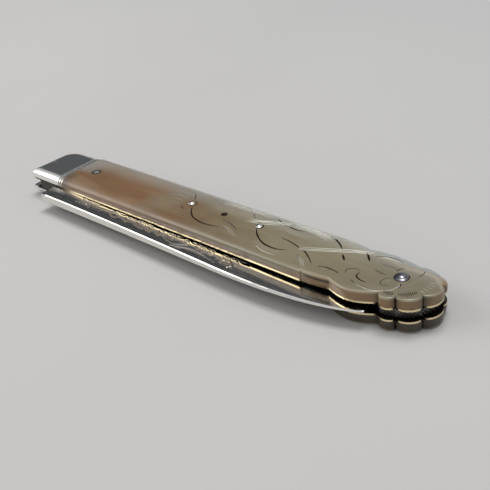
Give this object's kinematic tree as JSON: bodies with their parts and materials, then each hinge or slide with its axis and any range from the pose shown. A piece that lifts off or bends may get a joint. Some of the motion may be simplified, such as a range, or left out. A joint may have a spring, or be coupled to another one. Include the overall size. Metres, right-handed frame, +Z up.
{
  "type": "folding pen knife",
  "caption": "Slim folding pen knife, closed: engraved pearl scales with a shell-shaped end, silver bolsters, brass liners and a blade that swings out of the slot.",
  "frame": {"origin": "on the flat underside of the rear bolster, on the handle's centre line and level with the blade's pivot", "axes": "+X along the handle to its shell end, -Y out of the mouth where the blade swings out, +Z up from the rear side it lies on to the front side"},
  "size_m": [0.0876, 0.016, 0.006],
  "materials": {
    "front_scale": "engraved mother of pearl, brown at the bolster and olive grey towards the shell",
    "rear_scale": "engraved mother of pearl",
    "front_liner": "brass sheet with bright edges",
    "rear_liner": "brass sheet with bright edges",
    "bolster": "polished silver",
    "blade": "polished silver with engraved leaf and scroll work",
    "spring": "dark steel, checkered at the shell end",
    "pin": "polished silver",
    "steel_pin": "dark steel",
    "collar": "tarnished silver"
  },
  "bodies": {
    "handle": {"front_scale": "front_scale", "rear_scale": "rear_scale", "front_liner": "front_liner", "rear_liner": "rear_liner", "front_bolster": "bolster", "rear_bolster": "bolster", "back_spring": "spring", "pivot_pin": "pin", "spring_pin": "steel_pin", "shell_rivet": "pin", "front_rosette": "pin", "rear_rosette": "pin", "front_ring_pin": "pin", "rear_ring_pin": "pin", "front_collar": "collar", "rear_collar": "collar", "front_near_pin": "pin", "front_far_pin": "pin", "rear_near_pin": "pin", "rear_far_pin": "pin"},
    "blade": {"blade": "blade"}
  },
  "joints": [
    {"name": "blade_pivot", "type": "hinge", "parent": "handle", "child": "blade", "pos_m": [0, -0.0013, 0.0028], "axis": [0, 0, -1], "range_deg": [0, 180]}
  ]
}
